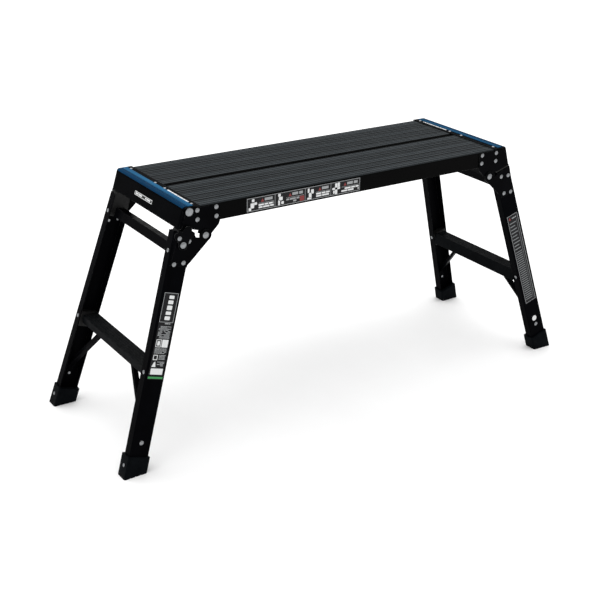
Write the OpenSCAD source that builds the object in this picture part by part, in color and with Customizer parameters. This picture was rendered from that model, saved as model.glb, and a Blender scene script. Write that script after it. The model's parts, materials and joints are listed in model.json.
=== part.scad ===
// Folding work platform: a two-plank deck on two hinged leg frames.
// Millimetres. X runs along the deck, Y across it, Z up. The origin is on the floor under the deck's centre.
// The two ends are the same assembly turned half a turn about Z, so everything is drawn for the left end.

/* [Deck] */
// Length of the deck between the upper corners of its end faces
deck_length = 1108; // [960:2:1240]
// Width of the deck over the side walls of its planks
deck_width = 387; // [370:1:400]
// Height of the deck's rib tops above the floor
deck_height = 699; // [660:1:740]
// Depth of a plank from rib top to underside
plank_depth = 49.4; // [46:0.2:54]
// Gap between the two planks
plank_gap = 13; // [6:0.5:16]
// Wall of the hollow planks
plank_wall = 2; // [1.8:0.1:2.6]
// Spacing of the ribs along the deck top
rib_pitch = 12.6; // [11:0.1:14]
// Height of a rib
rib_height = 0.9; // [0.6:0.1:1.2]

/* [Ends] */
// Reach of the end cap's flange over the planks
flange_reach = 47; // [44:1:52]
// Radius of the nose between the flange and the end face
nose_radius = 12; // [9:0.5:14]
// Distance of the flange rivets from the deck's end
strip_rivet_inset = 34.5; // [33:0.5:37]
// Depth of the end face, from the flange top to the lower lip
end_face_drop = 54; // [52:0.1:56]

/* [Leg frames] */
// Lean of the legs away from the deck's centre, in degrees
leg_lean = 17.18; // [15:0.02:19]
// Splay of each leg away from the centreline, in degrees
leg_splay = 5.33; // [4:0.01:6]
// Width of a leg's channel, seen from the side
leg_width = 57.5; // [54:0.1:60]
// Depth of a leg's flanges, from the web inwards
leg_depth = 26.5; // [24:0.5:32]
// Thickness of the channel's web and flanges
leg_wall = 2.6; // [2.2:0.1:3]
// Drop from the deck top to the pivots
pivot_drop = 82.2; // [80:0.1:84]
// Distance of the pivots from the deck's end
pivot_inset = 61.9; // [60:0.1:64]
// Perpendicular distance from a pivot to its leg's centreline
pivot_offset = 60; // [58:0.5:62]

/* [Cross members] */
// Height of the rung's tread above the floor
rung_height = 280; // [250:1:300]
// Width of the rung's level tread
tread_width = 45.5; // [42:0.5:47]
// Distance of the top rail's centre down the leg
rail_drop = 53.1; // [50:0.1:58]
// Depth of the top rail across the leg frame
rail_depth = 28.7; // [25:0.1:32]
// Height of the top rail along the leg
rail_height = 26; // [22:0.5:30]

/* [Feet] */
// Height of a rubber foot along its leg
foot_height = 54; // [48:1:62]
// Wall of a rubber foot along the leg's flanges
foot_wall = 4.2; // [3.5:0.1:6]
// Wall of a rubber foot over the leg's web
foot_front = 5.5; // [4:0.1:7]
// Wall of a rubber foot behind the leg's open side
foot_back = 10.5; // [8:0.5:12]

/* [Hidden] */

$fn = 48;
eps = 0.5;                                  // how far a cutter runs past the face it cuts
fit = 0.1;                                  // radial clearance of a rivet in its hole

// Deck
half_length = deck_length / 2;
half_width = deck_width / 2;
plank_width = (deck_width - plank_gap) / 2;
deck_bottom = deck_height - plank_depth;
plank_end = 10;                             // planks stop this far inside the deck's end
plank_corner = 5;                           // radius of a plank's upper edges
plank_cells = 4;                            // hollow cells across a plank
rib_width = 3;
rib_count = floor((plank_width - 2 * plank_corner) / rib_pitch);
strap_width = 40;
strap_thickness = 3;
strap_length = 330;
strap_spacing = 300;

// End cap and its edge strip
flange_thickness = 1.6;
flange_top = deck_height + flange_thickness;
flange_depth = flange_thickness + rib_height - fit;        // down to the planks, where the ribs end
face_wall = 3;
lip_depth = 10;
lip_thickness = 2.5;
return_reach = 10;                          // the cap's side returns, measured from the end face
strip_thickness = 1.6;
strip_reach = 30;
strip_ridge = 0.6;
strip_ridges = 4;
strip_rivet_y = [-173.8, -27.2, 27.2, 173.8];
nose_inset = nose_radius * (1 - sin(leg_lean)) / cos(leg_lean);
corner_radius = 7;

// Layers outwards from the side of the planks
bracket_thickness = 2.5;
layer_gap = 0.3;                            // clearance between plates that turn past each other
deck_bracket_out = half_width + bracket_thickness;
leg_bracket_in = deck_bracket_out + layer_gap;
leg_bracket_out = leg_bracket_in + bracket_thickness;
pin_seat = leg_bracket_out + layer_gap;     // under the heads of the pivot pins
rivet_crown = 2.4;
lever_in = leg_bracket_out + rivet_crown + layer_gap;      // a lever turns over the leg's rivets
lever_thickness = 2.5;

// Leg frame. Its own axes: X inboard across the leg, Z up along it, origin in the middle of its top.
pivot_rise = 2.1;                           // the pivot stands this far above the leg's top end
top_inset = pivot_inset - pivot_offset * cos(leg_lean) - pivot_rise * sin(leg_lean);
top_height = deck_height - pivot_drop + pivot_offset * sin(leg_lean) - pivot_rise * cos(leg_lean);
web_set_in = 5.7;                           // a leg's web starts this far inside the deck's side
leg_top_y = half_width - web_set_in;
leg_corner = 2.5;                           // radius of the channel's outer corners
lip_wall = 2.5;                             // returned edges of a leg bracket
plate_outboard = -21.5;                     // outboard edge of its flat, from the leg's centreline
top_drop = 1.5;                             // its upper edge, below the leg's top
half_leg = leg_width / 2;
leg_reach = top_height / cos(leg_lean) / cos(leg_splay);
sole_thickness = 9;
leg_length = leg_reach - half_leg * tan(leg_lean) - sole_thickness;
plate_end = -(leg_bracket_in - leg_top_y - fit) / tan(leg_splay);   // where a leg bracket meets the web
inner_half = half_leg - leg_wall;
seam_rise = 4.3;                            // the deck bracket's lower edge, above the leg's top
stop_thickness = 2.5;
head_gap = 0.3;                             // between a leg's head and the bracket it stops against

// Rung
rung_inset = 22.4;                          // the tread's outer edge from the legs' centreline
tread_edge = [-rung_inset, -(top_height - rung_height + rung_inset * sin(leg_lean)) / cos(leg_lean)];
tread_inner = tread_edge + tread_width * [cos(leg_lean), sin(leg_lean)];
rung_bottom = tread_edge[1] - 21.3;
rung_rivet_height = tread_edge[1] - 5;
rung_wall = 2.2;
tread_ribs = 6;
tread_rib_height = 0.8;
rung_half = leg_top_y - leg_depth - tread_edge[1] * tan(leg_splay) - 1.8;
block_height = 44;
block_gap = 3;                              // between a block and the web, for the rivets' tails
pad_width = 30;
spring_pocket = 11;
rail_half = leg_top_y - leg_depth + rail_drop * tan(leg_splay);
rail_inset = 2;                             // the rail sits this far inboard of the legs' centreline

// Braces
brace_width = 15;
brace_thickness = 10;
brace_angle = 48.2;                         // below level
brace_start = 98.5;                         // its lower face leaves the rung at this distance from the centre
brace_foot = 13;
foot_plate = 2;
tab_thickness = 3;

// Fasteners
rivet_head = 6.5;
rivet_shank = 2.4;
pin_radius = 5;
bush_radius = 7;
running_fit = 0.05;
pin_head = 9;
pin_crown = 3;
pin_collar = 7.5;                           // holds a lever off the bracket
deck_rivets = [[40, 13], [40, 38], [96, 13], [96, 38]];          // inset from the end, drop from the top
upper_leg_rivets = [[15.4, -19.8], [-11.2, -27.5]];              // in the leg frame's axes
lower_leg_rivets = [[15, -78.5], [-11.5, -85.5]];
flange_rivet_inset = leg_depth / 2;         // from the web to the rivets through the flanges
low_rivet_drop = 572.5;
lever_pivot = [-2, -30.5];
stud_point = [-17.5, -14.4];
catch_point = [3.5, 13];
foot_rivet_drop = 28;
corner_head = 11;
corner_crown = 2.4;
corner_chamfer = 0.9;
tail_length = 1.4;
tail_radius = 4;
tail_rise = tail_radius * tan(leg_splay);   // a tail's flat seat clears the splayed web by this

// At a latched corner the lever's pivot takes the place of one upper rivet.
function plate_rivets(latched) = concat(latched ? [upper_leg_rivets[0]] : upper_leg_rivets, lower_leg_rivets);

// How far inboard of a leg's centreline its stop reaches; the notch takes the rest.
function stop_reach(latched) = latched ? 8 : half_leg;

// ---------------------------------------------------------------- placement

// Puts something drawn for the left end at either end.
module at_end(end) {
    if (end == "left") children();
    else rotate([0, 0, 180]) children();
}

// Origin at the upper corner of the left end face, X inboard, Z up.
module deck_end() {
    translate([-half_length, 0, flange_top]) children();
}

// The leg frame's own axes.
module leg_frame() {
    translate([-half_length + top_inset, 0, top_height]) rotate([0, leg_lean, 0]) children();
}

// Draws for the front side, or mirrored for the rear side.
module on_side(side) {
    if (side == "front") children();
    else mirror([0, 1, 0]) children();
}

// A leg's own axes: outer face of the web on the plane Y = 0, inside towards +Y.
module leg_axes() {
    translate([0, -leg_top_y, 0]) rotate([-leg_splay, 0, 0]) children();
}

// A plate drawn in X and Z, from the plane Y = -far to Y = -near.
module side_plate(near, far) {
    translate([0, -near, 0]) rotate([90, 0, 0]) linear_extrude(far - near) children();
}

// A profile drawn in X and Z, drawn out along Y, centred.
module across(width) {
    rotate([90, 0, 0]) linear_extrude(width, center = true) children();
}

// Points the children's +Z outwards at the front, from the plane Y = -y.
module facing_front(x, y, z) {
    translate([x, -y, z]) rotate([90, 0, 0]) children();
}

// ---------------------------------------------------------------- shared shapes

// A rivet seated on z = 0 with its crowned head above; a blind one has no tail head.
module rivet(head, crown, shank, grip, tail = tail_radius) {
    dome = (head * head + crown * crown) / (2 * crown);
    intersection() {
        translate([0, 0, crown - dome]) sphere(dome, $fn = 64);
        cylinder(h = crown + eps, r = head + eps);
    }
    translate([0, 0, -grip - tail_length]) cylinder(h = grip + tail_length, r = shank);
    translate([0, 0, -grip - tail_length]) cylinder(h = tail_length, r = tail);
}

module rivet_hole(grip) {
    translate([0, 0, -grip]) cylinder(h = grip + eps, r = rivet_shank + fit);
}

module rounded_rect(size, radius) {
    translate([radius, 0]) square([size[0] - 2 * radius, size[1]]);
    translate([0, radius]) square([size[0], size[1] - 2 * radius]);
    for (x = [radius, size[0] - radius], y = [radius, size[1] - radius])
        translate([x, y]) circle(radius);
}

// ---------------------------------------------------------------- deck

module plank_outline() {
    top = plank_depth - rib_height;
    lower_corner = 2;
    translate([0, lower_corner]) square([plank_width, top - plank_corner - lower_corner]);
    translate([lower_corner, 0]) square([plank_width - 2 * lower_corner, lower_corner + eps]);
    translate([plank_corner, 0]) square([plank_width - 2 * plank_corner, top]);
    for (x = [plank_corner, plank_width - plank_corner])
        translate([x, top - plank_corner]) circle(plank_corner);
    for (x = [lower_corner, plank_width - lower_corner])
        translate([x, lower_corner]) circle(lower_corner);
}

module plank_ribs_outline() {
    first = (plank_width - rib_width - rib_count * rib_pitch) / 2;
    for (i = [0 : rib_count])
        translate([first + i * rib_pitch, plank_depth - rib_height - eps])
            square([rib_width, rib_height + eps]);
}

module plank_cells_outline() {
    cell = (plank_width - plank_wall) / plank_cells;
    inner_height = plank_depth - rib_height - 2 * plank_wall;
    side_clear = plank_corner - plank_wall;
    for (i = [0 : plank_cells - 1])
        translate([plank_wall + i * cell, plank_wall]) {
            square([cell - plank_wall, inner_height - side_clear]);
            translate([side_clear, 0]) square([cell - plank_wall - 2 * side_clear, inner_height]);
        }
}

module plank_rivet_holes(end) {
    for (p = deck_rivets)
        at_end(end) deck_end()
            facing_front(p[0], half_width, -p[1]) rivet_hole(2 * plank_wall);
}

// Draws a plank's section along the deck, centred, with its outer lower edge at the deck's front.
module plank_extrusion(length) {
    translate([-length / 2, -half_width, deck_bottom]) rotate([90, 0, 90]) linear_extrude(length) children();
}

// The plank on the front side; turning it half a turn gives the rear one. Its ribs end at the flanges.
module plank() {
    difference() {
        union() {
            plank_extrusion(deck_length - 2 * plank_end) difference() {
                plank_outline();
                plank_cells_outline();
            }
            plank_extrusion(deck_length - 2 * (flange_reach + fit)) plank_ribs_outline();
        }
        plank_rivet_holes("left");
        mirror([1, 0, 0]) plank_rivet_holes("left");
        for (x = [-strap_spacing, 0, strap_spacing], y = [-half_width + 40, -half_width + 150])
            translate([x, y, deck_bottom - eps]) cylinder(h = plank_wall + 2 * eps, r = rivet_shank + fit);
        for (side = [-1, 1], y = [strip_rivet_y[0], strip_rivet_y[1]])
            translate([side * (half_length - strip_rivet_inset), y, deck_height - 3 * plank_wall])
                cylinder(h = 4 * plank_wall, r = rivet_shank + fit);
    }
}

module front_plank() { color("dimgray") plank(); }
module rear_plank() { color("dimgray") rotate([0, 0, 180]) plank(); }

module cap_profile() {
    nose = [nose_inset, -nose_radius];
    outward = [-cos(leg_lean), sin(leg_lean)];
    down = [-sin(leg_lean), -cos(leg_lean)];
    face_top = nose + nose_radius * outward;
    face_end = down * (end_face_drop / cos(leg_lean));
    inner_end = face_end - face_wall * outward;
    difference() {
        union() {
            translate(nose) circle(nose_radius);
            polygon([[nose[0], 0], [flange_reach, 0], [flange_reach, -flange_depth], nose]);
            polygon([face_top, face_end, inner_end, nose]);
            polygon([
                face_end, face_end + [lip_depth, 0],
                face_end + [lip_depth, lip_thickness], face_end - lip_thickness * down
            ]);
        }
        translate(nose) circle(nose_radius - face_wall);
        polygon([
            [nose[0], -flange_depth], [flange_reach + eps, -flange_depth],
            [flange_reach + eps, lip_thickness - end_face_drop], inner_end - lip_thickness * down,
            nose + (nose_radius - face_wall) * outward, nose
        ]);
    }
}

module cap_return_outline() {
    down = [-sin(leg_lean), -cos(leg_lean)];
    start = down * nose_radius;
    finish = down * (end_face_drop / cos(leg_lean));
    polygon([start, finish, finish + [return_reach, 0], start + [return_reach, 0]]);
}

// Cuts the cap's two outer corners round in six flats, at right angles to its slanted face.
module cap_corner_cuts() {
    arc = [for (a = [90 : -15 : 0]) corner_radius * [1 - cos(a), 1 - sin(a)]];
    rotate([0, leg_lean, 0])
        for (side = ["front", "rear"])
            on_side(side) translate([0, -deck_bracket_out, -2 * end_face_drop])
                linear_extrude(4 * end_face_drop)
                    polygon(concat([[-eps, corner_radius], [-eps, -eps], [corner_radius, -eps]], arc));
}

module end_cap() {
    difference() {
        deck_end() union() {
            across(2 * deck_bracket_out) cap_profile();
            for (side = ["front", "rear"])
                on_side(side) side_plate(half_width + fit, deck_bracket_out) cap_return_outline();
        }
        deck_end() cap_corner_cuts();
        for (y = strip_rivet_y)
            translate([-half_length + strip_rivet_inset, y, flange_top - flange_depth - eps])
                cylinder(h = flange_depth + 2 * eps, r = rivet_shank + fit);
    }
}

module left_end_cap() { color("#202226") end_cap(); }
module right_end_cap() { color("#202226") at_end("right") end_cap(); }

// A strip that lies on the flange and turns halfway down over the nose.
module strip_profile() {
    nose = [nose_inset, -nose_radius];
    outer = nose_radius + strip_thickness;
    reach = 2 * outer;
    difference() {
        intersection() {
            translate(nose) circle(outer);
            translate(nose) polygon([[0, 0], [0, reach], [-reach, reach]]);
        }
        translate(nose) circle(nose_radius);
    }
    translate([nose[0], 0]) square([strip_reach - nose[0], strip_thickness]);
    for (i = [0 : strip_ridges - 1])
        translate([nose[0] + 2 + i * 5, strip_thickness - eps]) square([1.6, strip_ridge + eps]);
}

module edge_strip() {
    deck_end() across(2 * (half_width - corner_radius / 2)) strip_profile();
}

module left_edge_strip() { color("steelblue") edge_strip(); }
module right_edge_strip() { color("steelblue") at_end("right") edge_strip(); }

module strip_rivets() {
    for (y = strip_rivet_y)
        translate([-half_length + strip_rivet_inset, y, flange_top])
            rivet(4.6, 1.8, rivet_shank, flange_thickness + rib_height + plank_wall);
}

module left_strip_rivets() { color("silver") strip_rivets(); }
module right_strip_rivets() { color("silver") at_end("right") strip_rivets(); }

module cross_strap(x) {
    difference() {
        translate([x - strap_width / 2, -strap_length / 2, deck_bottom - strap_thickness])
            cube([strap_width, strap_length, strap_thickness]);
        strap_rivet_places(x) rivet_hole(strap_thickness + eps);
    }
}

// The strap's rivets point down, two to each plank.
module strap_rivet_places(x) {
    for (y = [-half_width + 40, -half_width + 150, half_width - 150, half_width - 40])
        translate([x, y, deck_bottom - strap_thickness]) rotate([180, 0, 0]) children();
}

module left_cross_strap() { color("#2a2c30") cross_strap(-strap_spacing); }
module middle_cross_strap() { color("#2a2c30") cross_strap(0); }
module right_cross_strap() { color("#2a2c30") cross_strap(strap_spacing); }

module strap_rivets() {
    color("silver")
        for (x = [-strap_spacing, 0, strap_spacing])
            strap_rivet_places(x) rivet(5, 1.6, rivet_shank, strap_thickness + plank_wall);
}

// ---------------------------------------------------------------- deck brackets

module pivot_place() {
    translate([pivot_inset, -pivot_drop - flange_thickness]) children();
}

// Turns the leg frame's X and Z into the deck end's X and Z, for outlines.
module leg_outline() {
    translate([top_inset, top_height - flange_top]) rotate(-leg_lean) children();
}

module deck_bracket_outline(latched) {
    lug_radius = 17;
    clear = return_reach + 0.4;
    drop = [-sin(leg_lean), -cos(leg_lean)];
    face_end = drop * (end_face_drop / cos(leg_lean));
    difference() {
        union() {
            polygon([
                drop * 6 + [clear, 0], [107, -6], [106, -end_face_drop + 2], [102, -61.6], [81, -82],
                [pivot_inset, -pivot_drop - flange_thickness], [39, -74.1], [-9, -59.4],
                face_end + [clear, 0]
            ]);
            pivot_place() circle(lug_radius);
        }
        // Clear of the leg's top end.
        leg_outline() translate([-2 * leg_width, seam_rise - leg_width])
            square([2 * leg_width + half_leg + 6, leg_width]);
        if (latched)
            leg_outline() translate([9, 0]) square([27.5, 12.2]);
    }
}

// The bracket's lower edge is bent inwards over the leg's top end, and the leg stops against it.
module stop_flange(latched) {
    leg_frame() translate([plate_outboard, -deck_bracket_out, seam_rise])
        cube([stop_reach(latched) - plate_outboard, leg_depth, stop_thickness]);
}

module deck_bracket(latched) {
    difference() {
        union() {
            deck_end() side_plate(half_width, deck_bracket_out) difference() {
                deck_bracket_outline(latched);
                pivot_place() circle(pin_radius + fit);
            }
            stop_flange(latched);
        }
        deck_end() for (p = deck_rivets)
            facing_front(p[0], deck_bracket_out, -p[1]) rivet_hole(bracket_thickness + eps);
        if (latched) leg_frame()
            facing_front(catch_point[0], deck_bracket_out, catch_point[1])
                rivet_hole(bracket_thickness + eps);
    }
}

module front_left_deck_bracket() { color("#1c1d21") deck_bracket(true); }
module rear_left_deck_bracket() { color("#1c1d21") on_side("rear") deck_bracket(false); }
module front_right_deck_bracket() { color("#1c1d21") at_end("right") on_side("rear") deck_bracket(false); }
module rear_right_deck_bracket() { color("#1c1d21") at_end("right") deck_bracket(true); }

module deck_bracket_rivets() {
    color("silver")
        for (end = ["left", "right"], side = ["front", "rear"], p = deck_rivets)
            at_end(end) on_side(side) deck_end()
                facing_front(p[0], deck_bracket_out, -p[1])
                    rivet(rivet_head, rivet_crown, rivet_shank, bracket_thickness + plank_wall);
}

// The large rivet at the corner that carries a lock lever seats on the bracket only.
module corner_rivets() {
    color("silver")
        for (end = ["left", "right"])
            at_end(end) deck_end() facing_front(16, deck_bracket_out, -13) {
                cylinder(h = corner_crown - corner_chamfer, r = corner_head);
                translate([0, 0, corner_crown - corner_chamfer])
                    cylinder(h = corner_chamfer, r1 = corner_head, r2 = corner_head - 2 * corner_chamfer);
            }
}

// Each pin is fast in the deck bracket and turns in the leg bracket's bush.
module pivot_pins() {
    inner_head = 3;
    color("silver")
        for (end = ["left", "right"], side = ["front", "rear"])
            at_end(end) on_side(side) deck_end()
                facing_front(pivot_inset, 0, -pivot_drop - flange_thickness) {
                    dome = (pin_head * pin_head + pin_crown * pin_crown) / (2 * pin_crown);
                    translate([0, 0, half_width - inner_head]) cylinder(h = inner_head, r = pin_head - 1);
                    translate([0, 0, half_width - eps])
                        cylinder(h = pin_seat - half_width + 2 * eps, r = pin_radius);
                    intersection() {
                        translate([0, 0, pin_seat + pin_crown - dome]) sphere(dome, $fn = 64);
                        translate([0, 0, pin_seat]) cylinder(h = pin_crown + eps, r = pin_head + eps);
                    }
                }
}

// The stud that the lever's hook closes over stops just short of the hook's plane.
module catch_studs() {
    stud_height = lever_in - deck_bracket_out - 2 * layer_gap;
    color("silver")
        for (end = ["left", "right"])
            at_end(end) leg_frame() facing_front(catch_point[0], deck_bracket_out, catch_point[1]) {
                cylinder(h = stud_height, r = 4.5);
                translate([0, 0, -bracket_thickness]) cylinder(h = bracket_thickness + eps, r = rivet_shank);
            }
}

// ---------------------------------------------------------------- leg frames

// The channel's section, its web along X and its flanges towards +Y.
module channel_outline() {
    difference() {
        union() {
            translate([-half_leg, leg_corner]) square([leg_width, leg_depth - leg_corner]);
            translate([leg_corner - half_leg, 0]) square([leg_width - 2 * leg_corner, leg_depth]);
            for (x = [leg_corner - half_leg, half_leg - leg_corner])
                translate([x, leg_corner]) circle(leg_corner);
        }
        translate([-inner_half, leg_wall]) square([2 * inner_half, leg_depth]);
    }
}

module leg_channel(latched) {
    difference() {
        leg_axes() difference() {
            translate([0, 0, -leg_length]) linear_extrude(leg_length) channel_outline();
            facing_front(0, 0, -low_rivet_drop) rivet_hole(leg_wall + eps);
            foot_rivet_place() rivet_hole(foot_wall + leg_wall + eps);
        }
        for (p = plate_rivets(latched))
            facing_front(p[0], leg_bracket_out, p[1]) rivet_hole(16);
        if (latched)
            facing_front(lever_pivot[0], leg_bracket_out, lever_pivot[1])
                translate([0, 0, -20]) cylinder(h = 21, r = pin_radius + fit);
        flange_rivet_places() rivet_hole(leg_wall + eps);
    }
}

// Rivets through the flanges into the head and the rung's block, pointing away from the channel.
module flange_rivet_places() {
    for (z = [-rail_drop, rung_rivet_height])
        leg_axes() translate([-half_leg, flange_rivet_inset, z]) rotate([0, -90, 0]) children();
    leg_axes() translate([half_leg, flange_rivet_inset, rung_rivet_height]) rotate([0, 90, 0]) children();
}

module leg(end, side) {
    color("#1a1b20") at_end(end) leg_frame() on_side(side) leg_channel(side == "front");
}

module left_front_leg() { leg("left", "front"); }
module left_rear_leg() { leg("left", "rear"); }
module right_front_leg() { leg("right", "rear"); }
module right_rear_leg() { leg("right", "front"); }

module top_rail(end) {
    wall = 2;
    color("#1e1f24") at_end(end) leg_frame() across(2 * rail_half) difference() {
        translate([rail_inset - rail_depth / 2, -rail_drop - rail_height / 2])
            square([rail_depth, rail_height]);
        translate([rail_inset - rail_depth / 2 + wall, -rail_drop - rail_height / 2 + wall])
            square([rail_depth - 2 * wall, rail_height - 2 * wall]);
    }
}

module left_top_rail() { top_rail("left"); }
module right_top_rail() { top_rail("right"); }

// A block inside the channel, from the plane Y = -start out to just short of the web.
module channel_block(start, bottom, top) {
    reach = leg_top_y - leg_wall - top * tan(leg_splay) - start - block_gap;
    translate([-inner_half + fit, -start - reach, bottom])
        cube([2 * (inner_half - fit), reach, top - bottom]);
}

// The head closes the leg's top end and holds the top rail.
module leg_head(latched) {
    difference() {
        union() {
            channel_block(rail_half, -rail_drop - rail_height / 2, 2 * fit);
            translate([plate_outboard, -rail_half - pad_width, fit])
                cube([stop_reach(latched) - plate_outboard, pad_width, seam_rise - head_gap - fit]);
        }
        flange_rivet_places() rivet_hole(12);
        if (latched)
            facing_front(lever_pivot[0], leg_bracket_out, lever_pivot[1])
                translate([0, 0, -22]) cylinder(h = 23, r = spring_pocket);
    }
}

module leg_heads(end) {
    color("#8c9094") at_end(end) leg_frame() {
        on_side("front") leg_head(true);
        on_side("rear") leg_head(false);
    }
}

module left_leg_heads() { leg_heads("left"); }
module right_leg_heads() { leg_heads("right"); }

module rung_blocks(end) {
    bottom = tread_edge[1] - 10 - block_height / 2;
    color("#26282c") at_end(end) leg_frame()
        for (side = ["front", "rear"]) on_side(side) difference() {
            channel_block(rung_half, bottom, bottom + block_height);
            flange_rivet_places() rivet_hole(12);
        }
}

module left_rung_blocks() { rung_blocks("left"); }
module right_rung_blocks() { rung_blocks("right"); }

// Level tread, upright sides, and an underside square to the legs.
module rung_outline(inset) {
    down = [sin(leg_lean), -cos(leg_lean)];
    level = [cos(leg_lean), sin(leg_lean)];
    outer = tread_edge + inset * (level + down);
    inner = tread_inner + inset * (down - level);
    foot = rung_bottom + inset;
    polygon([
        outer, inner,
        inner + down * (inner[1] - foot) / cos(leg_lean),
        outer + down * (outer[1] - foot) / cos(leg_lean)
    ]);
}

module rung(end) {
    step = tread_width / tread_ribs;
    color("#3a3d40") at_end(end) leg_frame() difference() {
        across(2 * rung_half) {
            difference() {
                rung_outline(0);
                rung_outline(rung_wall);
            }
            translate(tread_edge) rotate(leg_lean)
                for (i = [0 : tread_ribs - 1])
                    translate([(i + 0.3) * step, -eps]) square([0.4 * step, tread_rib_height + eps]);
        }
        for (side = ["front", "rear"]) on_side(side)
            brace_rivet_places() rivet_hole(foot_plate + 2 * rung_wall);
    }
}

module left_rung() { rung("left"); }
module right_rung() { rung("right"); }

// A bent bar: a foot under the rung, a diagonal, and a tab on the inside of the leg's web.
module brace_bar() {
    top = rung_bottom - 0.1;
    slope = tan(brace_angle);
    rise = brace_thickness / cos(brace_angle);
    splay = tan(leg_splay);
    web = leg_top_y - leg_wall / cos(leg_splay) - 0.1;
    // Where the bar's lower and upper faces meet the web.
    lower_y = (web - splay * (top + slope * brace_start)) / (1 - splay * slope);
    upper_y = (web - splay * (top + rise + slope * brace_start)) / (1 - splay * slope);
    tab_end = -low_rivet_drop - brace_width / 2;
    difference() {
        rotate([90, 0, -90]) linear_extrude(brace_width, center = true) polygon([
            [brace_start - brace_foot, top], [brace_start + 2 * brace_foot, top],
            [brace_start + 2 * brace_foot, top - foot_plate],
            [brace_start + (rise + foot_plate) / slope, top - foot_plate],
            [upper_y, (web - upper_y) / splay], [web - splay * tab_end, tab_end],
            [web - splay * tab_end - tab_thickness, tab_end],
            [lower_y - tab_thickness, top - slope * (lower_y - tab_thickness - brace_start)],
            [brace_start + foot_plate / slope, top - foot_plate],
            [brace_start - brace_foot, top - foot_plate]
        ]);
        leg_axes() facing_front(0, 0, -low_rivet_drop) rivet_hole(3 * leg_wall + tab_thickness);
        brace_rivet_places() rivet_hole(foot_plate + eps);
    }
}

// Upwards through the ends of the brace's foot into the rung.
module brace_rivet_places() {
    for (y = [brace_start - brace_foot / 2, brace_start + 1.8 * brace_foot])
        translate([0, -y, rung_bottom - 0.1 - foot_plate]) rotate([180, 0, 0]) children();
}

module brace(end, side) {
    color("#26282c") at_end(end) leg_frame() on_side(side) brace_bar();
}

module left_front_brace() { brace("left", "front"); }
module left_rear_brace() { brace("left", "rear"); }
module right_front_brace() { brace("right", "rear"); }
module right_rear_brace() { brace("right", "front"); }

// Outline of a leg bracket in the leg frame's axes, with its ear around the pivot.
module leg_bracket_outline() {
    ear = 17;
    pivot = [pivot_offset, pivot_rise];
    polygon([
        [plate_outboard, -top_drop], [half_leg - 1, -top_drop], [32.5, -7], [41, -7],
        pivot, pivot + ear * [0.7, -0.714],
        [34.5, -74], [half_leg - 1, -84], [half_leg - 1, plate_end], [plate_outboard, plate_end]
    ]);
    translate(pivot) circle(ear);
}

// A flat plate that meets the web at its lower end; its returned edges close the gap above.
module leg_bracket(latched) {
    depth = leg_bracket_out - leg_top_y + leg_wall;
    corner = 6;
    difference() {
        union() {
            side_plate(leg_bracket_in, leg_bracket_out) leg_bracket_outline();
            difference() {
                union() {
                    // The outboard edge slopes back to the leg's corner.
                    translate([0, -leg_bracket_out, plate_end])
                        linear_extrude(-plate_end - top_drop) polygon([
                            [plate_outboard, 0], [plate_outboard + 1.4 * lip_wall, 0],
                            [1.4 * lip_wall - half_leg, depth], [-half_leg, depth]
                        ]);
                    side_plate(leg_top_y - leg_wall, leg_bracket_in + eps)
                        translate([half_leg - 1 - lip_wall, plate_end]) square([lip_wall, -plate_end - 20]);
                }
                leg_axes() translate([-leg_width, -fit, -leg_length])
                    cube([2 * leg_width, leg_width, 2 * leg_length]);
            }
        }
        // The upper outboard corner is cut off.
        side_plate(0, leg_bracket_out + eps) polygon([
            [-half_leg - eps, -top_drop - corner], [corner + top_drop - half_leg, eps], [-half_leg - eps, eps]
        ]);
        facing_front(pivot_offset, leg_bracket_out + eps, pivot_rise)
            translate([0, 0, -6]) cylinder(h = 7, r = bush_radius);
        for (p = plate_rivets(latched))
            facing_front(p[0], leg_bracket_out, p[1]) rivet_hole(4);
        if (latched)
            facing_front(lever_pivot[0], leg_bracket_out, lever_pivot[1])
                translate([0, 0, -8]) cylinder(h = 9, r = pin_radius + fit);
    }
}

module bracket_on(end, side) {
    color("#1b1c21") at_end(end) leg_frame() on_side(side) leg_bracket(side == "front");
}

module left_front_leg_bracket() { bracket_on("left", "front"); }
module left_rear_leg_bracket() { bracket_on("left", "rear"); }
module right_front_leg_bracket() { bracket_on("right", "rear"); }
module right_rear_leg_bracket() { bracket_on("right", "front"); }

// Grip of a rivet through a leg bracket and the web behind it, at a height in the leg frame.
function web_grip(z) = leg_bracket_out - leg_top_y + z * tan(leg_splay) + leg_wall / cos(leg_splay) + 2 * fit;

module leg_rivets(end) {
    color("silver") at_end(end) leg_frame()
        for (side = ["front", "rear"]) on_side(side) {
            for (p = plate_rivets(side == "front"))
                facing_front(p[0], leg_bracket_out, p[1])
                    rivet(rivet_head, rivet_crown, rivet_shank, web_grip(p[1]) + tail_rise);
            leg_axes() facing_front(0, 0, -low_rivet_drop)
                rivet(rivet_head, rivet_crown, rivet_shank, leg_wall + tab_thickness + 4 * fit);
            flange_rivet_places() rivet(5.5, 2, rivet_shank, 6, rivet_shank);
            brace_rivet_places() rivet(4, 1.4, rivet_shank, foot_plate + 0.1 + rung_wall);
        }
}

module left_leg_rivets() { leg_rivets("left"); }
module right_leg_rivets() { leg_rivets("right"); }

// Bushes are fast in the leg brackets and turn on the pins.
module pivot_bushes(end) {
    color("whitesmoke") at_end(end) leg_frame()
        for (side = ["front", "rear"]) on_side(side)
            facing_front(pivot_offset, leg_bracket_in, pivot_rise) difference() {
                cylinder(h = bracket_thickness, r = bush_radius);
                translate([0, 0, -eps])
                    cylinder(h = bracket_thickness + 2 * eps, r = pin_radius + running_fit);
            }
}

module left_pivot_bushes() { pivot_bushes("left"); }
module right_pivot_bushes() { pivot_bushes("right"); }

// ---------------------------------------------------------------- feet

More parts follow.
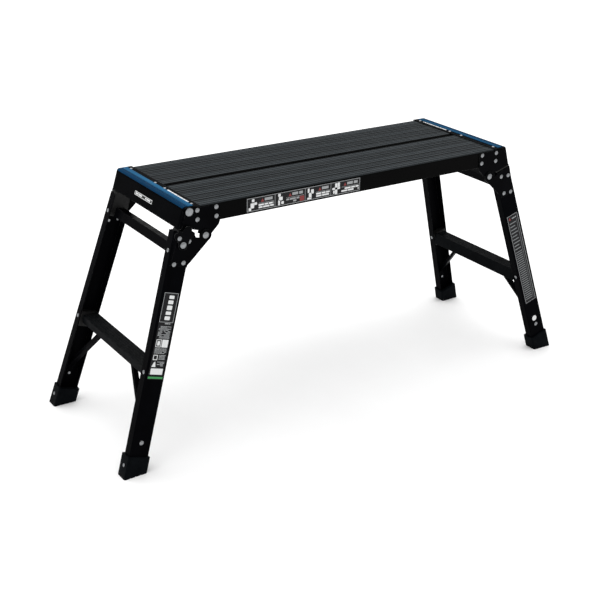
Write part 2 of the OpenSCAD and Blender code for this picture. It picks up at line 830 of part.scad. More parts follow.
// On the outboard side of the foot, pointing outboard.
module foot_rivet_place() {
    translate([-half_leg - foot_wall, leg_depth / 2, foot_height - leg_reach - foot_rivet_drop])
        rotate([0, -90, 0]) children();
}

module foot_block() {
    corner = 5;
    grown = [leg_width + 2 * foot_wall, leg_depth + foot_front + foot_back];
    leg_axes() difference() {
        translate([-grown[0] / 2, -foot_front, -leg_reach - leg_width])
            linear_extrude(foot_height + leg_width) rounded_rect(grown, corner);
        translate([-half_leg, 0, -leg_length]) cube([leg_width, leg_depth, leg_length]);
        foot_rivet_place() rivet_hole(2 * foot_wall);
    }
}

module foot(end, side) {
    groove = 3;
    tread_depth = 2;
    span = 2 * deck_length;
    middle = top_inset - half_length - leg_reach * sin(leg_lean) - groove / 2;
    color("#2a2c2e") at_end(end) difference() {
        intersection() {
            leg_frame() on_side(side) foot_block();
            translate([-span / 2, -span / 2, 0]) cube([span, span, deck_height]);
        }
        // Grip grooves across the sole.
        for (i = [-1 : 1])
            translate([middle + i * 15, -span / 2, -eps]) cube([groove, span, tread_depth + eps]);
    }
}

module left_front_foot() { foot("left", "front"); }
module left_rear_foot() { foot("left", "rear"); }
module right_front_foot() { foot("right", "rear"); }
module right_rear_foot() { foot("right", "front"); }

module foot_rivets(end) {
    color("silver") at_end(end) leg_frame()
        for (side = ["front", "rear"]) on_side(side) leg_axes()
            foot_rivet_place() rivet(5, 1.8, rivet_shank, foot_wall + 0.4, rivet_shank);
}

module left_foot_rivets() { foot_rivets("left"); }
module right_foot_rivets() { foot_rivets("right"); }

// ---------------------------------------------------------------- lock levers

// The lever's pivot is fast in the leg bracket and the web; the lever turns on its shoulder.
module lever_pivot_pin(end) {
    reach_in = web_grip(lever_pivot[1]) + 6.5;
    dome = (pin_head * pin_head + pin_crown * pin_crown) / (2 * pin_crown);
    rise = lever_in - leg_bracket_out - layer_gap;
    seat = rise + lever_thickness + 2 * layer_gap;
    color("silver") at_end(end) leg_frame()
        facing_front(lever_pivot[0], leg_bracket_out, lever_pivot[1]) {
            translate([0, 0, -reach_in]) cylinder(h = reach_in + seat + eps, r = pin_radius);
            cylinder(h = rise, r = pin_collar);
            intersection() {
                translate([0, 0, seat + pin_crown - dome]) sphere(dome, $fn = 64);
                translate([0, 0, seat]) cylinder(h = pin_crown + eps, r = pin_head + eps);
            }
        }
}

module left_lever_pivot() { lever_pivot_pin("left"); }
module right_lever_pivot() { lever_pivot_pin("right"); }

// A close-wound torsion spring on the pivot's inner end, inside the channel.
module lever_spring(end) {
    wire = 1.3;
    coils = 3;
    mean = pin_radius + 0.3 + wire / 2;
    start = web_grip(lever_pivot[1]) + 1.2;
    color("lightsteelblue") at_end(end) leg_frame()
        facing_front(lever_pivot[0], leg_bracket_out, lever_pivot[1]) {
            for (i = [0 : coils - 1])
                translate([0, 0, -start - wire / 2 - i * wire * 0.9])
                    rotate_extrude() translate([mean, 0]) circle(wire / 2, $fn = 24);
            translate([mean, 0, -start - wire / 2]) rotate([-90, 0, 0])
                cylinder(h = 7, r = wire / 2, $fn = 24);
        }
}

module left_lever_spring() { lever_spring("left"); }
module right_lever_spring() { lever_spring("right"); }

// The hook reaches over the catch stud; the thumb end stands out past the leg's outer edge.
module lever_outline() {
    polygon([
        [-13, -37], [-10, -42], [6, -42], [12, -36], [12.4, -14], [20, -6], [24.5, 1], [22, 6.5],
        [13, 9.6], [9, 20], [-5, 20.5], [-9, 14], [-14, 4], [-24, 2], [-33, -4], [-34, -12],
        [-27, -20], [-17, -26]
    ]);
    translate(lever_pivot) circle(14);
}

module lock_lever(end) {
    color("#202228") at_end(end) leg_frame() side_plate(lever_in, lever_in + lever_thickness) difference() {
        lever_outline();
        translate(lever_pivot) circle(pin_radius + running_fit);
        translate(stud_point) circle(rivet_shank + fit);
    }
}

module front_left_lock_lever() { lock_lever("left"); }
module rear_right_lock_lever() { lock_lever("right"); }

module lever_stud(end) {
    color("silver") at_end(end) leg_frame()
        facing_front(stud_point[0], lever_in + lever_thickness, stud_point[1]) {
            dome = 11;
            intersection() {
                translate([0, 0, 2 - dome]) sphere(dome, $fn = 64);
                cylinder(h = 3, r = 7);
            }
            translate([0, 0, -lever_thickness]) cylinder(h = lever_thickness + eps, r = rivet_shank);
        }
}

module front_left_lever_stud() { lever_stud("left"); }
module rear_right_lever_stud() { lever_stud("right"); }

front_plank();
rear_plank();
left_end_cap();
right_end_cap();
left_edge_strip();
right_edge_strip();
left_strip_rivets();
right_strip_rivets();
front_left_deck_bracket();
rear_left_deck_bracket();
front_right_deck_bracket();
rear_right_deck_bracket();
deck_bracket_rivets();
corner_rivets();
left_cross_strap();
middle_cross_strap();
right_cross_strap();
strap_rivets();
pivot_pins();
catch_studs();
left_front_leg();
left_rear_leg();
left_top_rail();
left_leg_heads();
left_rung();
left_rung_blocks();
left_front_brace();
left_rear_brace();
left_front_leg_bracket();
left_rear_leg_bracket();
left_leg_rivets();
left_front_foot();
left_rear_foot();
left_foot_rivets();
left_pivot_bushes();
left_lever_pivot();
left_lever_spring();
right_front_leg();
right_rear_leg();
right_top_rail();
right_leg_heads();
right_rung();
right_rung_blocks();
right_front_brace();
right_rear_brace();
right_front_leg_bracket();
right_rear_leg_bracket();
right_leg_rivets();
right_front_foot();
right_rear_foot();
right_foot_rivets();
right_pivot_bushes();
right_lever_pivot();
right_lever_spring();
front_left_lock_lever();
front_left_lever_stud();
rear_right_lock_lever();
rear_right_lever_stud();
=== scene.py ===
import json
import math

import bmesh
import bpy
from mathutils import Matrix, Vector


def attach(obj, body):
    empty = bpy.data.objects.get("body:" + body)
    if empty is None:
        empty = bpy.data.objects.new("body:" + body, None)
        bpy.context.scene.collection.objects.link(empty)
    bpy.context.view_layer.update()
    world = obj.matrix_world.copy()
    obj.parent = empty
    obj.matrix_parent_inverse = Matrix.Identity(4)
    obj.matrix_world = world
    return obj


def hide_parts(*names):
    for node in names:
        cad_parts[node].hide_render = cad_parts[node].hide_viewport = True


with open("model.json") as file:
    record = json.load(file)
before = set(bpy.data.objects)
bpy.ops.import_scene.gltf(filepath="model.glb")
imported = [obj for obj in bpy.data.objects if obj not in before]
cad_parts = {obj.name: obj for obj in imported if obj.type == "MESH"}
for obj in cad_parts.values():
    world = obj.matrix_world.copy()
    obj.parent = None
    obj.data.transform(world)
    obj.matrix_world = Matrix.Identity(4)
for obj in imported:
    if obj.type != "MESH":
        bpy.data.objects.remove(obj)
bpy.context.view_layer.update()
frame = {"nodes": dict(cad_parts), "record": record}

# Sizes shared with the CAD model, in metres.
HALF_LENGTH = 0.554
HALF_WIDTH = 0.1935
FLANGE_TOP = 0.7006
LEAN = math.radians(17.18)
SPLAY = math.radians(5.33)
LEG_TOP = Vector((-0.550043, 0.0, 0.632516))    # middle of the left frame's upper end
LEG_TOP_Y = 0.1878                              # outer face of a web at that height
PLANK_MIDDLE = 0.100                            # a plank's centreline, from the deck's

# Dark lines on each plank, from its centreline, and the painted shade on the plank edges beside the gap.
FIRST_LINE = 0.018
LINE_PITCH = 0.0176
LAST_LINE = 0.058
GAP_SHADE = (0.014, 0.009)

STRIP_SHADE_BEND = (0.5375, 0.5405)                   # where a blue strip's outer, rounded part begins, painted as shade in a deeper blue
FOOT_EDGE = 0.0022                              # width of the softened edges of a foot
SMOOTH_BELOW = math.radians(30)


# ------------------------------------------------------------------ materials

class Nodes:
    """Builds one node material."""

    def __init__(self, name, metallic=0.0, specular=0.5):
        self.material = bpy.data.materials.new(name)
        self.material.use_nodes = True
        self.tree = self.material.node_tree
        self.shader = self.tree.nodes["Principled BSDF"]
        self.shader.inputs["Metallic"].default_value = metallic
        self.shader.inputs["Specular IOR Level"].default_value = specular
        self.shader.inputs["IOR"].default_value = 1.5
        self.coords = self.add("ShaderNodeTexCoord").outputs["Object"]

    def add(self, kind, values=(), **attributes):
        node = self.tree.nodes.new(kind)
        for key, value in attributes.items():
            setattr(node, key, value)
        for key, value in values:
            if isinstance(value, bpy.types.NodeSocket):
                self.tree.links.new(value, node.inputs[key])
            else:
                node.inputs[key].default_value = value
        return node

    def feed(self, key, socket):
        self.tree.links.new(socket, self.shader.inputs[key])

    def stretched(self, scale):
        return self.add("ShaderNodeMapping", (("Vector", self.coords), ("Scale", scale))).outputs["Vector"]

    def noise(self, scale, detail=3.0, roughness=0.5, vector=None):
        values = (("Vector", vector or self.coords), ("Scale", scale), ("Detail", detail),
                  ("Roughness", roughness))
        return self.add("ShaderNodeTexNoise", values).outputs["Fac"]

    def ramp(self, socket, low, high, to_low=0.0, to_high=1.0):
        values = (("Value", socket), ("From Min", low), ("From Max", high),
                  ("To Min", to_low), ("To Max", to_high))
        return self.add("ShaderNodeMapRange", values).outputs["Result"]

    def mix(self, factor, a, b):
        node = self.add("ShaderNodeMix", data_type="RGBA")
        for index, value in ((0, factor), (6, a), (7, b)):
            if isinstance(value, bpy.types.NodeSocket):
                self.tree.links.new(value, node.inputs[index])
            else:
                node.inputs[index].default_value = value
        return node.outputs[2]

    def math(self, operation, a, b=0.0):
        return self.add("ShaderNodeMath", ((0, a), (1, b)), operation=operation).outputs[0]

    def edges(self, radius):
        """1 along edges, 0 on flats."""
        bevel = self.add("ShaderNodeBevel", (("Radius", radius),), samples=4).outputs["Normal"]
        flat = self.add("ShaderNodeNewGeometry").outputs["Normal"]
        dot = self.add("ShaderNodeVectorMath", ((0, bevel), (1, flat)), operation="DOT_PRODUCT")
        return self.ramp(dot.outputs["Value"], 0.97, 0.75)

    def bump(self, height, distance, strength=1.0, normal=None):
        values = [("Height", height), ("Distance", distance), ("Strength", strength)]
        if normal:
            values.append(("Normal", normal))
        return self.add("ShaderNodeBump", values).outputs["Normal"]

    def rounded(self, radius):
        return self.add("ShaderNodeBevel", (("Radius", radius),), samples=4).outputs["Normal"]


def grey(value):
    return (value, value, value, 1.0)


def coated(name, dark, light, rough, specular, rub_and_sheen_colour=grey(0.12), rub_and_sheen_amount=0.35, radius=0.0012, long_axis=None):
    """A painted or anodised metal: mottled colour, fine texture, edges lightened partly as rubbed paint and
    partly as a painted highlight.
    """
    n = Nodes(name, specular=specular)
    cloud = n.ramp(n.noise(14.0, 4.0, 0.6), 0.3, 0.7)
    colour = n.mix(cloud, dark, light)
    if long_axis:
        lines = n.noise(60.0, 2.0, 0.6, n.stretched(long_axis))
        colour = n.mix(n.ramp(lines, 0.45, 0.75, 0.0, 0.35), colour, light)
    # Edges lightened towards a paler grey: partly rubbed paint, partly a painted edge highlight.
    rub_and_sheen_edges = n.math("MULTIPLY", n.edges(radius), n.ramp(n.noise(90.0, 4.0, 0.7), 0.42, 0.62))
    colour = n.mix(n.math("MULTIPLY", rub_and_sheen_edges, rub_and_sheen_amount), colour, rub_and_sheen_colour)
    n.feed("Base Color", colour)
    smudge = n.ramp(n.noise(22.0, 5.0, 0.65), 0.35, 0.7, rough - 0.06, rough + 0.1)
    n.feed("Roughness", smudge)
    n.feed("Normal", n.bump(n.noise(1400.0, 2.0), 0.00004, 0.6, n.rounded(radius)))
    return n.material


def extruded_plank(name):
    """Ribbed aluminium plank: dark grey with darker lines along it on the top face, which is painted lighter
    than the sides as painted light; the sides are painted black as shade, and the top beside the gap carries
    painted shade.
    """
    n = Nodes(name, specular=0.02)
    place = n.add("ShaderNodeSeparateXYZ", ((0, n.coords),)).outputs
    normal = n.add("ShaderNodeNewGeometry").outputs["Normal"]
    # Painted light: the top face gets the lighter colours, the sides a near-black painted shade.
    lit_top_mask = n.ramp(n.add("ShaderNodeSeparateXYZ", ((0, normal),)).outputs["Z"], 0.55, 0.95)
    across = n.math("ABSOLUTE", place["Y"])
    from_middle = n.math("ABSOLUTE", n.math("SUBTRACT", across, PLANK_MIDDLE))
    from_line = n.math("SUBTRACT", from_middle, FIRST_LINE)
    wave = n.math("COSINE", n.math("MULTIPLY", from_line, 2 * math.pi / LINE_PITCH))
    lined = n.math("MULTIPLY", n.ramp(from_middle, FIRST_LINE / 2, FIRST_LINE - 0.005),
                   n.ramp(from_middle, LAST_LINE + 0.005, LAST_LINE))
    lines = n.math("MULTIPLY", lined, n.ramp(wave, -0.6, 1.0, 0.0, 0.8))
    along = n.noise(45.0, 4.0, 0.6, n.stretched((0.012, 1.0, 1.0)))
    dust = n.ramp(n.noise(9.0, 5.0, 0.6), 0.3, 0.7)
    top = n.mix(dust, (0.025, 0.0295, 0.0325, 1.0), (0.030, 0.0350, 0.0385, 1.0))
    top = n.mix(n.ramp(along, 0.4, 0.7, 0.0, 0.5), top, (0.042, 0.0485, 0.0530, 1.0))
    top = n.mix(lines, top, grey(0.004))
    # Painted shade on the plank edges next to the gap between the planks.
    top = n.mix(n.ramp(across, *GAP_SHADE), top, grey(0.0006))
    n.feed("Base Color", n.mix(lit_top_mask, grey(0.0012), top))
    n.feed("Roughness", n.ramp(n.noise(30.0, 4.0), 0.3, 0.7, 0.38, 0.52))
    drawn = n.bump(n.noise(700.0, 2.0, 0.6, n.stretched((0.01, 1.0, 1.0))), 0.00003, 0.5)
    n.feed("Normal", n.bump(n.noise(1600.0, 2.0), 0.00003, 0.5, drawn))
    return n.material


def blue_strip(name):
    """Blue anodised strip: a brighter flat, and painted shade in a deeper blue on its outer, rounded part.
    The right strip is painted darker as shade.
    """
    n = Nodes(name, specular=0.006)
    place = n.add("ShaderNodeSeparateXYZ", ((0, n.coords),)).outputs
    # Painted shade: the rounded outer part turns a deeper blue.
    outer = n.ramp(n.math("ABSOLUTE", place["X"]), *STRIP_SHADE_BEND)
    along = n.noise(90.0, 3.0, 0.6, n.stretched((1.0, 0.03, 1.0)))
    flat = n.mix(n.ramp(along, 0.35, 0.7), (0.010, 0.068, 0.150, 1.0), (0.024, 0.125, 0.250, 1.0))
    shaded_blue = n.mix(n.ramp(along, 0.35, 0.7), (0.0010, 0.018, 0.048, 1.0), (0.0022, 0.033, 0.084, 1.0))
    # Painted shade: the right strip's flat leans towards the deeper blue.
    flat = n.mix(n.ramp(place["X"], 0.0, 0.1, 0.0, 0.5), flat, shaded_blue)
    colour = n.mix(outer, flat, shaded_blue)
    # Edges lightened to a pale blue: partly rubbed anodising, partly a painted edge highlight.
    rub_and_sheen_amount = n.math("MULTIPLY", n.edges(0.0005), n.ramp(n.noise(120.0, 4.0, 0.7), 0.4, 0.6, 0.0, 0.4))
    n.feed("Base Color", n.mix(rub_and_sheen_amount, colour, (0.12, 0.27, 0.42, 1.0)))
    n.feed("Roughness", n.ramp(n.noise(60.0, 4.0), 0.3, 0.7, 0.27, 0.42))
    brushed = n.noise(900.0, 2.0, 0.6, n.stretched((1.0, 0.05, 1.0)))
    n.feed("Normal", n.bump(brushed, 0.00003, 0.5, n.rounded(0.0005)))
    return n.material


def bare_metal(name, colour, rough):
    """Bare metal with an uneven tone and fine scratches."""
    n = Nodes(name, metallic=1.0)
    tone = n.ramp(n.noise(120.0, 4.0, 0.7), 0.3, 0.7)
    shade = tuple(0.72 * c for c in colour[:3]) + (1.0,)
    n.feed("Base Color", n.mix(tone, shade, colour))
    n.feed("Roughness", n.ramp(n.noise(200.0, 3.0), 0.3, 0.7, rough - 0.08, rough + 0.1))
    n.feed("Normal", n.bump(n.noise(700.0, 3.0, 0.7), 0.00003, 0.5, n.rounded(0.0005)))
    return n.material


def moulded(name, dark, light, rough, specular, grain, depth):
    """Rubber or nylon: speckled grain, soft edges, a little dust."""
    n = Nodes(name, specular=specular)
    tone = n.ramp(n.noise(35.0, 5.0, 0.7), 0.35, 0.7)
    dust = n.ramp(n.noise(420.0, 2.0), 0.62, 0.75, 0.0, 0.5)
    n.feed("Base Color", n.mix(dust, n.mix(tone, dark, light), grey(light[0] * 2.2)))
    n.feed("Roughness", n.ramp(n.noise(60.0, 3.0), 0.3, 0.7, rough - 0.07, rough + 0.08))
    grains = n.add("ShaderNodeTexVoronoi", (("Vector", n.coords), ("Scale", grain))).outputs["Distance"]
    n.feed("Normal", n.bump(grains, depth, 0.6, n.rounded(0.0015)))
    return n.material


def printed(name, colour, rough=0.45):
    """Print on a film label, slightly uneven and scuffed."""
    n = Nodes(name, specular=0.15)
    scuff = n.ramp(n.noise(260.0, 4.0, 0.75), 0.56, 0.74, 0.0, 0.55)
    shade = tuple(0.35 * c for c in colour[:3]) + (1.0,)
    n.feed("Base Color", n.mix(scuff, colour, shade))
    n.feed("Roughness", n.ramp(n.noise(80.0, 3.0), 0.3, 0.7, rough - 0.08, rough + 0.08))
    n.feed("Normal", n.bump(n.noise(900.0, 2.0), 0.00002, 0.5))
    return n.material


BLACK = dict(dark=(0.0008, 0.0008, 0.0011, 1.0), light=(0.0016, 0.0017, 0.0023, 1.0))
SLOTS = {
    "plank": extruded_plank("ribbed_plank"),
    "blue_strip": blue_strip("blue_anodised"),
    "end_cap": coated("moulded_cap", **BLACK, rough=0.36, specular=0.004, radius=0.003),
    "bracket": coated("bracket_coat", **BLACK, rough=0.32, specular=0.012),
    "strap": coated("strap_coat", **BLACK, rough=0.42, specular=0.02),
    "rivet": bare_metal("rivet_aluminium", (0.28, 0.29, 0.30, 1.0), 0.28),
    "leg": coated("leg_anodised", **BLACK, rough=0.34, specular=0.006, long_axis=(1.0, 1.0, 0.04)),
    "rung": coated("rung_anodised", (0.0020, 0.0024, 0.0028, 1.0), (0.0042, 0.0049, 0.0056, 1.0),
                   rough=0.38, specular=0.008, long_axis=(1.0, 0.04, 1.0)),
    "head": moulded("nylon_head", grey(0.005), grey(0.009), 0.5, 0.2, 900.0, 0.00004),
    "block": moulded("nylon_block", grey(0.005), grey(0.009), 0.5, 0.2, 900.0, 0.00004),
    "rubber": moulded("foot_rubber", (0.0016, 0.0021, 0.0027, 1.0), (0.0034, 0.0043, 0.0053, 1.0),
                      0.5, 0.012, 650.0, 0.00009),
    "bush": moulded("bush_nylon", grey(0.42), grey(0.56), 0.45, 0.4, 900.0, 0.00003),
    "spring": bare_metal("spring_steel", (0.42, 0.43, 0.45, 1.0), 0.3),
    # The lever's edges are lightened more, partly as a painted highlight on its edge.
    "lever": coated("lever_coat", **BLACK, rough=0.28, specular=0.02, rub_and_sheen_colour=grey(0.30), rub_and_sheen_amount=0.6,
                    radius=0.0009),
}
INKS = {
    "film": printed("label_film", (0.004, 0.004, 0.005, 1.0), 0.35),
    "white": printed("label_white", (0.66, 0.67, 0.67, 1.0)),
    "pale": printed("label_pale", (0.18, 0.19, 0.195, 1.0)),
    "grey": printed("label_grey", (0.30, 0.31, 0.315, 1.0)),
    "red": printed("label_red", (0.20, 0.035, 0.035, 1.0)),
    "green": printed("label_green", (0.045, 0.24, 0.075, 1.0)),
}

SLOT_OF = {part["node"]: part["material_slot"] for part in frame["record"]["subparts"]}
for name, obj in frame["nodes"].items():
    for slot in obj.material_slots:
        slot.material = SLOTS[SLOT_OF[name]]


# ------------------------------------------------------------------ mesh helpers

def finish_mesh(bm, name, body, materials):
    """Turns a bmesh into an object that rides on a body."""
    bmesh.ops.recalc_face_normals(bm, faces=bm.faces)
    for face in bm.faces:
        face.smooth = True
    for edge in bm.edges:
        edge.smooth = len(edge.link_faces) == 2 and edge.calc_face_angle(0.0) < SMOOTH_BELOW
    mesh = bpy.data.meshes.new(name)
    bm.to_mesh(mesh)
    bm.free()
    for material in materials:
        mesh.materials.append(material)
    piece = bpy.data.objects.new(name, mesh)
    bpy.context.scene.collection.objects.link(piece)
    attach(piece, body)
    return piece


def softened_foot(node, body):
    """A copy of a foot with its outer edges rounded, in place of the CAD node."""
    source = frame["nodes"][node]
    bm = bmesh.new()
    bm.from_mesh(source.data)
    bmesh.ops.remove_doubles(bm, verts=bm.verts, dist=1e-6)
    bmesh.ops.dissolve_limit(bm, angle_limit=math.radians(1.0), verts=bm.verts, edges=bm.edges)
    sharp = [e for e in bm.edges if len(e.link_faces) == 2 and e.is_convex
             and e.calc_face_angle(0.0) > math.radians(35) and e.calc_length() > 2.2 * FOOT_EDGE]
    bmesh.ops.bevel(bm, geom=sharp, offset=FOOT_EDGE, segments=3, profile=0.5, affect="EDGES",
                    clamp_overlap=True)
    piece = finish_mesh(bm, node + "_soft", body, [SLOTS[SLOT_OF[node]]])
    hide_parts(node)


def rounded(u0, v0, u1, v1, radius, steps=4):
    """Outline of a rectangle with rounded corners, in millimetres."""
    points = []
    for cu, cv, start in ((u1 - radius, v1 - radius, 0), (u0 + radius, v1 - radius, 90),
                          (u0 + radius, v0 + radius, 180), (u1 - radius, v0 + radius, 270)):
        for i in range(steps + 1):
            a = math.radians(start + 90.0 * i / steps)
            points.append((cu + radius * math.cos(a), cv + radius * math.sin(a)))
    return points


def ring(u0, v0, u1, v1, width):
    """The four bars of a rectangular outline."""
    return [(u0, v0, u1, v0 + width), (u0, v1 - width, u1, v1),
            (u0, v0 + width, u0 + width, v1 - width), (u1 - width, v0 + width, u1, v1 - width)]


class Label:
    """A film label: printed shapes on a thin backing. Drawn in millimetres in its own plane."""

    def __init__(self, name, body, plane, backing=None, radius=1.5):
        self.name, self.body, self.plane = name, body, plane
        self.bm = bmesh.new()
        self.inks = []
        self.base = 0.0
        if backing:
            self.shape(rounded(*backing, radius), "film", 0.0, 0.12)
            self.base = 0.11

    def shape(self, points, ink, low=None, high=None):
        low = self.base if low is None else low
        high = low + 0.05 if high is None else high
        if ink not in self.inks:
            self.inks.append(ink)
        layers = [[self.bm.verts.new(self.plane @ Vector((u / 1000, v / 1000, w / 1000))) for u, v in points]
                  for w in (low, high)]
        faces = [self.bm.faces.new(layers[1]), self.bm.faces.new(layers[0][::-1])]
        for i in range(len(points)):
            j = (i + 1) % len(points)
            faces.append(self.bm.faces.new((layers[0][i], layers[0][j], layers[1][j], layers[1][i])))
        for face in faces:
            face.material_index = self.inks.index(ink)

    def bar(self, u0, v0, u1, v1, ink):
        self.shape([(u0, v0), (u1, v0), (u1, v1), (u0, v1)], ink)

    def frame(self, u0, v0, u1, v1, width, ink):
        for bar in ring(u0, v0, u1, v1, width):
            self.bar(*bar, ink)

    def lines(self, u0, v0, u1, v1, pitch, height, ink, seed, gap=0.16):
        """Rows of broken bars that stand in for small print."""
        state = seed
        v = v1 - height
        while v >= v0:
            u = u0
            while u < u1 - 0.6:
                state = (state * 1103515245 + 12345) % 2147483648
                length = (1.6 + 3.4 * (state / 2147483648)) * height
                if state % 100 >= gap * 100:
                    self.bar(u, v, min(u + length, u1), v + height, ink)
                u += length + 0.45 * height
            v -= pitch

    def done(self):
        finish_mesh(self.bm, self.name, self.body, [INKS[i] for i in self.inks])


def plane(origin, u, v):
    """A label's plane: u to the right, v up, and the third axis out of the surface."""
    u, v = Vector(u).normalized(), Vector(v).normalized()
    matrix = Matrix((u, v, u.cross(v))).transposed().to_4x4()
    return Matrix.Translation(origin) @ matrix


def web_plane(side):
    """The web of a front leg, left for -1 and right for 1: u along its width towards +X, v up the leg."""
    matrix = Matrix.Translation((side * -LEG_TOP.x, 0, LEG_TOP.z)) @ Matrix.Rotation(-side * LEAN, 4, "Y")
    matrix = matrix @ Matrix.Translation((0, -LEG_TOP_Y, 0)) @ Matrix.Rotation(-SPLAY, 4, "X")
    return matrix @ Matrix(((1, 0, 0, 0), (0, 0, -1, 0), (0, 1, 0, 0), (0, 0, 0, 1)))


# ------------------------------------------------------------------ feet

for end in ("left", "right"):
    for side in ("front", "rear"):
        softened_foot(f"{end}_{side}_foot", f"{end}_leg_frame")


# ------------------------------------------------------------------ labels

deck_side = Label("deck_side_label", "deck", plane((0, -HALF_WIDTH, 0), (1, 0, 0), (0, 0, 1)),
                  backing=(-366.0, 653.8, 5.5, 692.6))
deck_side.frame(-364.5, 655.0, 4.0, 691.4, 1.3, "grey")
for number, (u0, u1) in enumerate(((-364.5, -277.0), (-277.0, -180.0), (-180.0, -95.0), (-95.0, 4.0))):
    if number:
        deck_side.bar(u0 - 0.6, 656.3, u0 + 0.6, 690.1, "grey")
    middle = u0 + 18.0
    blocks = (((-13, 657, -5, 665), (-7, 663, 4, 677), (3, 671, 13, 678), (-3, 680, 5, 688)),
              ((-8, 657, -2, 672), (2, 659, 10, 667), (-6, 670, 6, 680), (-8, 681, 0, 689)),
              ((-11, 657, 3, 662), (-6, 661, 3, 675), (1, 672, 10, 684), (-10, 676, -4, 688)),
              ((-4, 657, 4, 688), (-13, 670, 13, 676), (-10, 659, -5, 668), (5, 675, 12, 689)))[number]
    for b0, b1, b2, b3 in blocks:
        deck_side.shape(rounded(middle + b0, b1, middle + b2, b3, 1.6), "white")
    t0 = u0 + 36.0
    deck_side.bar(t0, 673.2, u1 - 4.0, 674.2, "grey")
    deck_side.shape([(t0 + 7, 676.5), (t0 + 17, 676.5), (t0 + 12, 686)], "red")
    deck_side.lines(t0 + 19, 677.0, u1 - 8.0, 686.0, 9.0, 7.6, "grey", 17 + number)
    right = u1 - (19.0 if number == 1 else 4.0)
    deck_side.lines(t0, 658.5, right, 671.0, 6.6, 4.6, "white" if number != 1 else "grey", 5 + number)
    if number == 1:
        deck_side.shape(rounded(right + 1.5, 657.5, u1 - 3.0, 671.5, 1.0), "red")
deck_side.done()

left_leg = Label("left_leg_label", "left_leg_frame", web_plane(-1), backing=(-21.0, -386.0, 22.5, -160.0))
left_leg.frame(-20.0, -240.5, 21.5, -161.2, 1.2, "grey")
for i, (low, high) in enumerate(((-234, -224), (-220, -211), (-207, -195), (-191, -181), (-177, -168))):
    left_leg.shape(rounded(-6.5 + 0.6 * i, low, 9.5 + 0.3 * i, high, 2.0), "white")
left_leg.lines(-2, -249, 14, -242, 5.0, 3.2, "grey", 3)
left_leg.lines(-17, -285, 19, -251, 3.1, 1.7, "grey", 8)
left_leg.frame(-17, -308, -1, -287, 1.6, "white")
left_leg.shape(rounded(-13, -303.5, -5, -291.5, 1.4), "white")
left_leg.shape(rounded(1, -308, 19, -287, 1.0), "white")
left_leg.lines(-17, -326, 19, -311, 3.1, 1.7, "grey", 29)
left_leg.frame(-17, -343, -4, -329, 1.8, "white")
left_leg.lines(0, -343, 19, -329, 3.4, 2.0, "grey", 41)
left_leg.shape([(-17, -362), (-5, -362), (-8, -347), (-12, -350)], "white")
left_leg.lines(-2, -362, 19, -347, 3.4, 2.0, "grey", 53)
left_leg.shape(rounded(-17, -382.5, 19.5, -366, 0.8), "white")
left_leg.done()

green_band = Label("left_leg_band", "left_leg_frame", web_plane(-1), backing=(-22.0, -396.0, 24.0, -387.5))
green_band.bar(-21.2, -394.0, 23.2, -388.6, "green")
green_band.done()

right_leg = Label("right_leg_label", "right_leg_frame", web_plane(1), backing=(-22.5, -483.0, 21.5, -162.0))
right_leg.frame(-21.5, -482.0, 20.5, -163.0, 1.2, "grey")
right_leg.shape([(-18, -178), (-8, -178), (-13, -168)], "red")
right_leg.lines(-4, -178, 14, -168, 5.2, 3.4, "grey", 61)
for row in range(9):
    right_leg.bar(-17.5, -192 - 11.5 * row, (9.0, 3.0, 7.0)[row % 3], -188.8 - 11.5 * row, "pale")
for row in range(24):
    right_leg.bar(-17.5, -296 - 7.6 * row, 9.0, -293.4 - 7.6 * row, "pale")
right_leg.bar(12.5, -474, 13.7, -182, "pale")
right_leg.done()

sticker = Label("right_leg_sticker", "right_leg_frame", web_plane(1))
sticker.shape(rounded(-10.3, -558, 7.7, -540, 9.0, 8), "white", 0.0, 0.15)
sticker.done()

face_up = Vector((math.sin(LEAN), 0, math.cos(LEAN)))
face = Label("end_face_label", "deck", plane((-HALF_LENGTH, 0, FLANGE_TOP), (0, -1, 0), face_up),
             backing=(-64, -37.5, 38, -25.3))
face.frame(-63, -36.6, 37, -26.2, 1.6, "white")
face.lines(-58, -33.6, 33, -29.2, 6.0, 4.2, "white", 83, gap=0.3)
face.done()

for end, turn in (("left", 1), ("right", -1)):
    stripe = Label(f"{end}_strip_print", "deck",
                   plane((-turn * HALF_LENGTH, 0, FLANGE_TOP), (0, -turn, 0), (turn, 0, 0)),
                   backing=(42, 30.6, 160, 37.2), radius=0.8)
    stripe.lines(44, 31.4, 158, 36.6, 6.0, 4.8, "white", 97, gap=0.06)
    stripe.done()


# ------------------------------------------------------------------ stage

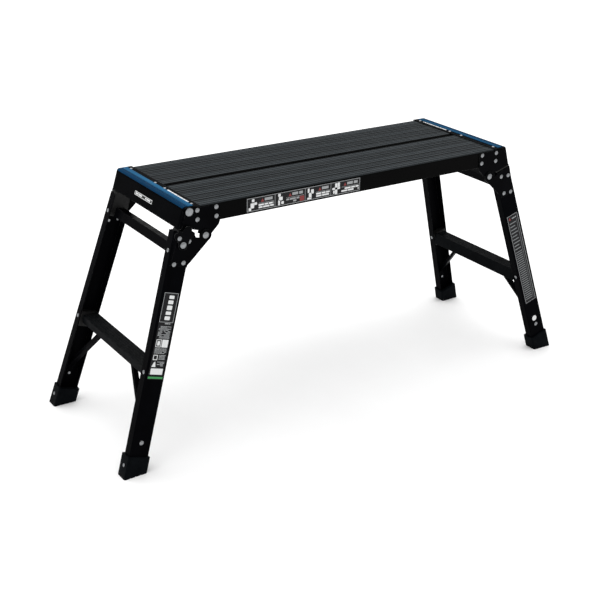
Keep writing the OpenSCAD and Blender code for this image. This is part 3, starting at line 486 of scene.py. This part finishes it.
def floor_material():
    n = Nodes("pale_floor", specular=0.1)
    tone = n.ramp(n.noise(2.0, 4.0), 0.3, 0.7)
    n.feed("Base Color", n.mix(tone, grey(0.86), grey(0.9)))
    n.shader.inputs["Roughness"].default_value = 0.8
    return n.material


def soft_sun(name, direction, angle, strength):
    data = bpy.data.lights.new(name, "SUN")
    data.angle = math.radians(angle)
    data.energy = strength
    light = bpy.data.objects.new(name, data)
    light.rotation_euler = Vector(direction).to_track_quat("-Z", "Y").to_euler()
    bpy.context.scene.collection.objects.link(light)


floor_mesh = bpy.data.meshes.new("floor")
floor_mesh.from_pydata([(-200, -200, 0), (200, -200, 0), (200, 200, 0), (-200, 200, 0)], [], [(0, 1, 2, 3)])
floor_mesh.materials.append(floor_material())
floor = bpy.data.objects.new("floor", floor_mesh)
bpy.context.scene.collection.objects.link(floor)

world = bpy.data.worlds.new("studio")
world.use_nodes = True
world.node_tree.nodes["Background"].inputs["Color"].default_value = (1.0, 1.0, 1.0, 1.0)
world.node_tree.nodes["Background"].inputs["Strength"].default_value = 0.85
bpy.context.scene.world = world
soft_sun("overhead", (-0.10, -0.30, -1.0), 90, 2.0)
soft_sun("from_left", (1.0, 0.25, -1.1), 30, 0.25)

# ------------------------------------------------------------------ camera

YAW, PITCH, ROLL = math.radians(34.185), math.radians(-23.710), math.radians(1.195)
forward = Vector((math.sin(YAW) * math.cos(PITCH), math.cos(YAW) * math.cos(PITCH), math.sin(PITCH)))
level = forward.cross(Vector((0, 0, 1))).normalized()
upright = level.cross(forward)
right = level * math.cos(ROLL) + upright * math.sin(ROLL)
top = upright * math.cos(ROLL) - level * math.sin(ROLL)
camera_data = bpy.data.cameras.new("camera")
camera_data.sensor_width = 36.0
camera_data.lens = 68.83
camera = bpy.data.objects.new("camera", camera_data)
camera.matrix_world = (Matrix.Translation((-1.8476, -2.6293, 1.6597))
                       @ Matrix((right, top, -forward)).transposed().to_4x4())
bpy.context.scene.collection.objects.link(camera)
bpy.context.scene.camera = camera
bpy.context.scene.view_settings.view_transform = "Standard"
